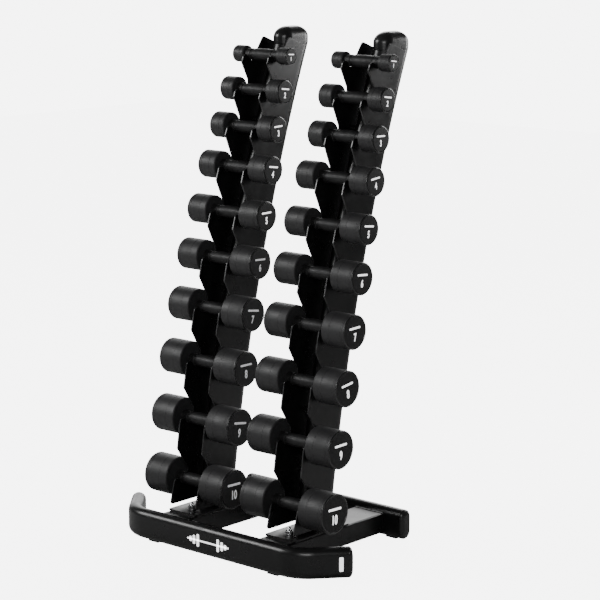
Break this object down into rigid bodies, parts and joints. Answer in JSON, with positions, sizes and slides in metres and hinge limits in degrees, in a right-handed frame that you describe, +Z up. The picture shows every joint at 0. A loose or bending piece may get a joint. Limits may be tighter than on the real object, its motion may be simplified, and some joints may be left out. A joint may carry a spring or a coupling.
{
  "type": "dumbbell rack",
  "caption": "Freestanding dumbbell rack with twin backward-curving masts, saw-tooth cradle plates and an oval-tube base, loaded with graded round-head dumbbells",
  "frame": {"origin": "on the floor, at the bottom centre of the whole rack's bounding box", "axes": "+X to the right as a user faces the rack, +Y away from the user towards the rear tube, +Z up"},
  "size_m": [0.792, 0.5858, 1.3653],
  "materials": {
    "powder_coat": "fine-grained semi-matte black powder coat",
    "weight_rubber": "cast iron covered in smooth dark grey rubber",
    "black_plastic": "moulded black plastic, softly glossy",
    "foot_rubber": "matte black rubber",
    "zinc_steel": "bright zinc plating"
  },
  "bodies": {
    "rack": {"front_foot_tube": "powder_coat", "rear_foot_tube": "powder_coat", "front_tube_cap_left": "black_plastic", "rear_tube_cap_left": "black_plastic", "floor_pad_front_left": "foot_rubber", "floor_pad_rear_left": "foot_rubber", "front_tube_cap_right": "black_plastic", "rear_tube_cap_right": "black_plastic", "floor_pad_front_right": "foot_rubber", "floor_pad_rear_right": "foot_rubber", "base_rail_left": "powder_coat", "rail_flange_front_left": "powder_coat", "rail_flange_rear_left": "powder_coat", "mast_foot_left": "powder_coat", "mast_left": "powder_coat", "foot_bolt_left_front": "zinc_steel", "foot_bolt_left_rear": "zinc_steel", "mast_cap_left": "black_plastic", "cradle_plate_left_inner": "powder_coat", "plate_spacer_left_inner_low": "powder_coat", "plate_spacer_left_inner_high": "powder_coat", "cradle_plate_left_outer": "powder_coat", "plate_spacer_left_outer_low": "powder_coat", "plate_spacer_left_outer_high": "powder_coat", "base_rail_right": "powder_coat", "rail_flange_front_right": "powder_coat", "rail_flange_rear_right": "powder_coat", "mast_foot_right": "powder_coat", "mast_right": "powder_coat", "foot_bolt_right_front": "zinc_steel", "foot_bolt_right_rear": "zinc_steel", "mast_cap_right": "black_plastic", "cradle_plate_right_inner": "powder_coat", "plate_spacer_right_inner_low": "powder_coat", "plate_spacer_right_inner_high": "powder_coat", "cradle_plate_right_outer": "powder_coat", "plate_spacer_right_outer_low": "powder_coat", "plate_spacer_right_outer_high": "powder_coat"},
    "weight_left_1kg": {"dumbbell_left_1kg": "weight_rubber"},
    "weight_left_2kg": {"dumbbell_left_2kg": "weight_rubber"},
    "weight_left_3kg": {"dumbbell_left_3kg": "weight_rubber"},
    "weight_left_4kg": {"dumbbell_left_4kg": "weight_rubber"},
    "weight_left_5kg": {"dumbbell_left_5kg": "weight_rubber"},
    "weight_left_6kg": {"dumbbell_left_6kg": "weight_rubber"},
    "weight_left_7kg": {"dumbbell_left_7kg": "weight_rubber"},
    "weight_left_8kg": {"dumbbell_left_8kg": "weight_rubber"},
    "weight_left_9kg": {"dumbbell_left_9kg": "weight_rubber"},
    "weight_left_10kg": {"dumbbell_left_10kg": "weight_rubber"},
    "weight_right_1kg": {"dumbbell_right_1kg": "weight_rubber"},
    "weight_right_2kg": {"dumbbell_right_2kg": "weight_rubber"},
    "weight_right_3kg": {"dumbbell_right_3kg": "weight_rubber"},
    "weight_right_4kg": {"dumbbell_right_4kg": "weight_rubber"},
    "weight_right_5kg": {"dumbbell_right_5kg": "weight_rubber"},
    "weight_right_6kg": {"dumbbell_right_6kg": "weight_rubber"},
    "weight_right_7kg": {"dumbbell_right_7kg": "weight_rubber"},
    "weight_right_8kg": {"dumbbell_right_8kg": "weight_rubber"},
    "weight_right_9kg": {"dumbbell_right_9kg": "weight_rubber"},
    "weight_right_10kg": {"dumbbell_right_10kg": "weight_rubber"}
  },
  "joints": [
    {"name": "lift_left_1kg", "type": "slide", "parent": "rack", "child": "weight_left_1kg", "axis": [0, -0.5736, 0.8192], "range_m": [0, 0.18]},
    {"name": "lift_left_2kg", "type": "slide", "parent": "rack", "child": "weight_left_2kg", "axis": [0, -0.5736, 0.8192], "range_m": [0, 0.18]},
    {"name": "lift_left_3kg", "type": "slide", "parent": "rack", "child": "weight_left_3kg", "axis": [0, -0.5736, 0.8192], "range_m": [0, 0.18]},
    {"name": "lift_left_4kg", "type": "slide", "parent": "rack", "child": "weight_left_4kg", "axis": [0, -0.5736, 0.8192], "range_m": [0, 0.18]},
    {"name": "lift_left_5kg", "type": "slide", "parent": "rack", "child": "weight_left_5kg", "axis": [0, -0.5736, 0.8192], "range_m": [0, 0.18]},
    {"name": "lift_left_6kg", "type": "slide", "parent": "rack", "child": "weight_left_6kg", "axis": [0, -0.5736, 0.8192], "range_m": [0, 0.18]},
    {"name": "lift_left_7kg", "type": "slide", "parent": "rack", "child": "weight_left_7kg", "axis": [0, -0.5736, 0.8192], "range_m": [0, 0.18]},
    {"name": "lift_left_8kg", "type": "slide", "parent": "rack", "child": "weight_left_8kg", "axis": [0, -0.5736, 0.8192], "range_m": [0, 0.18]},
    {"name": "lift_left_9kg", "type": "slide", "parent": "rack", "child": "weight_left_9kg", "axis": [0, -0.5736, 0.8192], "range_m": [0, 0.18]},
    {"name": "lift_left_10kg", "type": "slide", "parent": "rack", "child": "weight_left_10kg", "axis": [0, -0.5736, 0.8192], "range_m": [0, 0.18]},
    {"name": "lift_right_1kg", "type": "slide", "parent": "rack", "child": "weight_right_1kg", "axis": [0, -0.5736, 0.8192], "range_m": [0, 0.18]},
    {"name": "lift_right_2kg", "type": "slide", "parent": "rack", "child": "weight_right_2kg", "axis": [0, -0.5736, 0.8192], "range_m": [0, 0.18]},
    {"name": "lift_right_3kg", "type": "slide", "parent": "rack", "child": "weight_right_3kg", "axis": [0, -0.5736, 0.8192], "range_m": [0, 0.18]},
    {"name": "lift_right_4kg", "type": "slide", "parent": "rack", "child": "weight_right_4kg", "axis": [0, -0.5736, 0.8192], "range_m": [0, 0.18]},
    {"name": "lift_right_5kg", "type": "slide", "parent": "rack", "child": "weight_right_5kg", "axis": [0, -0.5736, 0.8192], "range_m": [0, 0.18]},
    {"name": "lift_right_6kg", "type": "slide", "parent": "rack", "child": "weight_right_6kg", "axis": [0, -0.5736, 0.8192], "range_m": [0, 0.18]},
    {"name": "lift_right_7kg", "type": "slide", "parent": "rack", "child": "weight_right_7kg", "axis": [0, -0.5736, 0.8192], "range_m": [0, 0.18]},
    {"name": "lift_right_8kg", "type": "slide", "parent": "rack", "child": "weight_right_8kg", "axis": [0, -0.5736, 0.8192], "range_m": [0, 0.18]},
    {"name": "lift_right_9kg", "type": "slide", "parent": "rack", "child": "weight_right_9kg", "axis": [0, -0.5736, 0.8192], "range_m": [0, 0.18]},
    {"name": "lift_right_10kg", "type": "slide", "parent": "rack", "child": "weight_right_10kg", "axis": [0, -0.5736, 0.8192], "range_m": [0, 0.18]}
  ]
}
